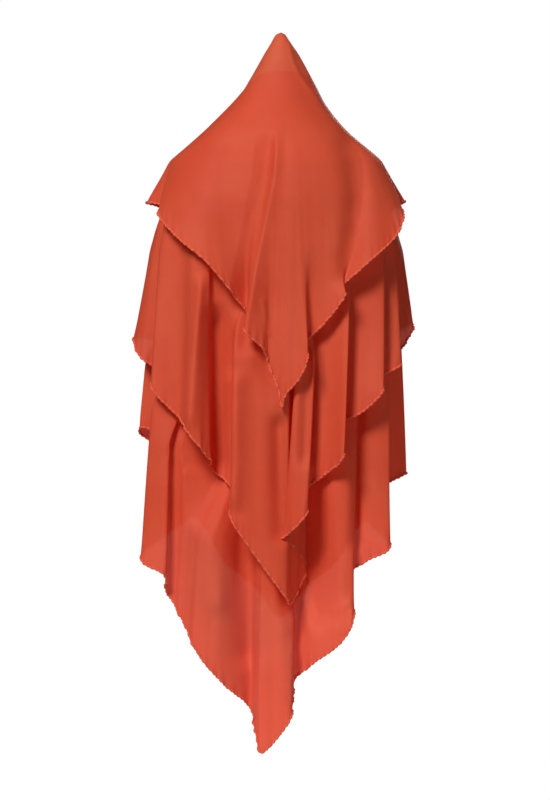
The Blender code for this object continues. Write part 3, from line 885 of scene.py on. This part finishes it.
def chiffon():
    """Sheer chiffon: light comes through it. Below the sewn edge its dye is multiplied deeper as
    painted shade from the layers behind the cloth, so the hood above that edge shows paler.
    """
    material = bpy.data.materials.new("coral_chiffon_cloth")
    material.use_nodes = True
    tree = material.node_tree
    tree.nodes.clear()
    link = tree.links.new
    surface = node(tree, "ShaderNodeOutputMaterial")
    face = node(
        tree, "ShaderNodeBsdfPrincipled", Roughness=0.62, Sheen_Weight=0.09, Sheen_Roughness=0.45,
        Specular_IOR_Level=0.22,
    )
    face.inputs["Sheen Tint"].default_value = (1.0, 0.55, 0.45, 1.0)
    through = node(tree, "ShaderNodeBsdfTranslucent")
    gaps = node(tree, "ShaderNodeBsdfTransparent")
    gaps.inputs["Color"].default_value = (1.0, 0.80, 0.76, 1.0)
    soft = node(tree, "ShaderNodeMixShader", Fac=0.32)
    sheer = node(tree, "ShaderNodeMixShader", Fac=0.020)
    uv = node(tree, "ShaderNodeUVMap")
    uv.uv_map = "cloth"
    where = node(tree, "ShaderNodeTexCoord")
    cloud = node(tree, "ShaderNodeTexNoise", Scale=7.0, Detail=3.0, Roughness=0.55)
    dye = node(tree, "ShaderNodeValToRGB")
    dye.color_ramp.elements[0].position = 0.35
    dye.color_ramp.elements[0].color = (0.785, 0.126, 0.055, 1.0)
    dye.color_ramp.elements[1].position = 0.68
    dye.color_ramp.elements[1].color = (0.840, 0.158, 0.072, 1.0)
    glow = node(tree, "ShaderNodeValToRGB")
    glow.color_ramp.elements[0].color = (0.880, 0.026, 0.012, 1.0)
    glow.color_ramp.elements[1].color = (0.920, 0.036, 0.018, 1.0)
    warp = node(tree, "ShaderNodeTexWave", Scale=260.0, Distortion=1.2, Detail_Scale=2.0)
    warp.bands_direction = "X"
    weft = node(tree, "ShaderNodeTexWave", Scale=260.0, Distortion=1.2, Detail_Scale=2.0)
    weft.bands_direction = "Y"
    crepe = node(tree, "ShaderNodeTexNoise", Scale=420.0, Detail=2.0, Roughness=0.6)
    threads = node(tree, "ShaderNodeMath")
    threads.operation = "ADD"
    grain = node(tree, "ShaderNodeMath")
    grain.operation = "ADD"
    relief = node(tree, "ShaderNodeBump", Strength=0.12, Distance=0.0004)
    link(where.outputs["Object"], cloud.inputs["Vector"])
    link(cloud.outputs["Fac"], dye.inputs["Fac"])
    link(cloud.outputs["Fac"], glow.inputs["Fac"])
    for texture in (warp, weft, crepe):
        link(uv.outputs["UV"], texture.inputs["Vector"])
    link(warp.outputs["Fac"], threads.inputs[0])
    link(weft.outputs["Fac"], threads.inputs[1])
    link(threads.outputs["Value"], grain.inputs[0])
    link(crepe.outputs["Fac"], grain.inputs[1])
    link(grain.outputs["Value"], relief.inputs["Height"])
    link(relief.outputs["Normal"], face.inputs["Normal"])
    link(relief.outputs["Normal"], through.inputs["Normal"])
    # Painted shade: below the sewn edge, where other layers lie behind the cloth, the dye is
    # multiplied deeper in green and blue
    seam = node(tree, "ShaderNodeAttribute")
    seam.attribute_name = "above_seam"
    seam_shade_share = node(tree, "ShaderNodeMapRange")
    seam_shade_share.inputs["From Min"].default_value = -SEAM_LINE
    seam_shade_share.inputs["From Max"].default_value = SEAM_LINE
    seam_shade_share.inputs["To Min"].default_value = 1.0
    seam_shade_share.inputs["To Max"].default_value = 0.0
    painted_layer_shade = node(tree, "ShaderNodeMix")
    painted_layer_shade.data_type = "RGBA"
    painted_layer_shade.blend_type = "MULTIPLY"
    painted_layer_shade.inputs[7].default_value = (1.0, 0.80, 0.76, 1.0)
    link(seam.outputs["Fac"], seam_shade_share.inputs["Value"])
    link(seam_shade_share.outputs["Result"], painted_layer_shade.inputs[0])
    link(dye.outputs["Color"], painted_layer_shade.inputs[6])
    link(painted_layer_shade.outputs[2], face.inputs["Base Color"])
    link(glow.outputs["Color"], through.inputs["Color"])
    link(face.outputs["BSDF"], soft.inputs[1])
    link(through.outputs["BSDF"], soft.inputs[2])
    link(soft.outputs["Shader"], sheer.inputs[1])
    link(gaps.outputs["BSDF"], sheer.inputs[2])
    link(sheer.outputs["Shader"], surface.inputs["Surface"])
    return material


def hem_thread():
    """The rolled and overlocked edge: denser and a little deeper in colour than the cloth."""
    material = bpy.data.materials.new("coral_rolled_edge")
    material.use_nodes = True
    tree = material.node_tree
    link = tree.links.new
    face = tree.nodes["Principled BSDF"]
    face.inputs["Roughness"].default_value = 0.75
    face.inputs["Specular IOR Level"].default_value = 0.08
    uv = node(tree, "ShaderNodeUVMap")
    uv.uv_map = "cloth"
    stitches = node(tree, "ShaderNodeTexWave", Scale=230.0, Distortion=0.6)
    stitches.bands_direction = "X"
    dye = node(tree, "ShaderNodeValToRGB")
    dye.color_ramp.elements[0].color = (0.66, 0.064, 0.032, 1.0)
    dye.color_ramp.elements[1].color = (0.92, 0.190, 0.100, 1.0)
    relief = node(tree, "ShaderNodeBump", Strength=0.4, Distance=0.0004)
    link(uv.outputs["UV"], stitches.inputs["Vector"])
    link(stitches.outputs["Fac"], dye.inputs["Fac"])
    link(stitches.outputs["Fac"], relief.inputs["Height"])
    link(dye.outputs["Color"], face.inputs["Base Color"])
    link(relief.outputs["Normal"], face.inputs["Normal"])
    return material


# The photo's view: its centre in the veil's own place, and the height it takes in
VIEW_CENTRE = (-0.0125, -0.09, -0.7706)
VIEW_HEIGHT = 1.6688
VIEW_DISTANCE = 14.0


def add_camera():
    data = bpy.data.cameras.new("camera")
    data.sensor_fit = "VERTICAL"
    data.sensor_height = 24.0
    data.lens = data.sensor_height * VIEW_DISTANCE / VIEW_HEIGHT
    camera = bpy.data.objects.new("camera", data)
    camera.location = (VIEW_CENTRE[0], VIEW_CENTRE[1] - VIEW_DISTANCE, VIEW_CENTRE[2])
    camera.rotation_euler = (math.radians(90.0), 0.0, 0.0)
    bpy.context.scene.collection.objects.link(camera)
    bpy.context.scene.camera = camera


# name, place, power in watts and width of each soft light, all turned to the veil's middle
Light = namedtuple("Light", "name place power width")
LIGHTS = (
    Light("key_light", (-2.4, -4.7, 3.6), 430.0, 1.9),
    Light("fill_light", (2.8, -3.4, 0.2), 26.0, 2.4),
    Light("back_light", (0.8, 3.8, 0.4), 105.0, 2.0),
)
LIGHT_AIM = (0.0, 0.0, -0.75)
ROOM_LIGHT = 0.02


def add_lights():
    for light in LIGHTS:
        data = bpy.data.lights.new(light.name, "AREA")
        data.energy = light.power
        data.size = light.width
        item = bpy.data.objects.new(light.name, data)
        item.location = light.place
        aim = Vector(LIGHT_AIM) - Vector(light.place)
        item.rotation_euler = aim.to_track_quat("-Z", "Y").to_euler()
        bpy.context.scene.collection.objects.link(item)
    world = bpy.data.worlds.new("pale_studio")
    world.use_nodes = True
    tree = world.node_tree
    backdrop = tree.nodes["Background"]
    backdrop.inputs["Color"].default_value = (1.0, 1.0, 1.0, 1.0)
    backdrop.inputs["Strength"].default_value = 1.0
    room = node(tree, "ShaderNodeBackground", Strength=ROOM_LIGHT)
    room.inputs["Color"].default_value = (1.0, 1.0, 1.0, 1.0)
    seen = tree.nodes.new("ShaderNodeLightPath")
    either = tree.nodes.new("ShaderNodeMixShader")
    tree.links.new(seen.outputs["Is Camera Ray"], either.inputs["Fac"])
    tree.links.new(room.outputs["Background"], either.inputs[1])
    tree.links.new(backdrop.outputs["Background"], either.inputs[2])
    tree.links.new(either.outputs["Shader"], tree.nodes["World Output"].inputs["Surface"])
    bpy.context.scene.world = world


FLOOR_HEIGHT = -1.72
FLOOR_RADIUS = 1.7


def add_floor():
    bm = bmesh.new()
    bmesh.ops.create_circle(bm, cap_ends=True, segments=128, radius=FLOOR_RADIUS)
    bmesh.ops.translate(bm, verts=bm.verts, vec=(0.0, 0.0, FLOOR_HEIGHT))
    material = bpy.data.materials.new("pale_floor")
    material.use_nodes = True
    shader = material.node_tree.nodes["Principled BSDF"]
    shader.inputs["Base Color"].default_value = (0.90, 0.90, 0.89, 1.0)
    shader.inputs["Roughness"].default_value = 0.9
    shader.inputs["Specular IOR Level"].default_value = 0.1
    add_piece("floor", bm, material)


def main():
    bpy.context.scene.view_settings.view_transform = "Standard"
    add_camera()
    add_lights()
    add_floor()
    cloth, thread = chiffon(), hem_thread()
    grids = layered_grids()
    made = []
    for tier, grid in zip(TIERS, grids):
        # above_seam drives the painted shade of the layers behind: an inner tier gets it all
        # over, and the top tier gets it only below its sewn edge
        if tier.inset:
            above_seam = np.full(grid.shape[:2], -1.0)
        else:
            bearing = fold_columns(tier, COLUMNS_PER_FOLD)[0]
            above_seam = grid[..., 2] - seam_height(bearing, 1)
        sheet = cloth_piece(tier.name + "_cloth", grid, cloth, not tier.inset, above_seam)
        trims = [tier_hem(tier, grid, thread)]
        trims[0].name = tier.hem_name + "_roll"
        if not tier.inset:
            trims.append(face_hem(grid, thread))
            trims[1].name = "face_hem_roll"
        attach(sheet, "root")
        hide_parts(tier.name)
        for trim in trims:
            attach(trim, "root")
            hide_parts(trim.name[: -len("_roll")])
        made.append(sheet)


main()
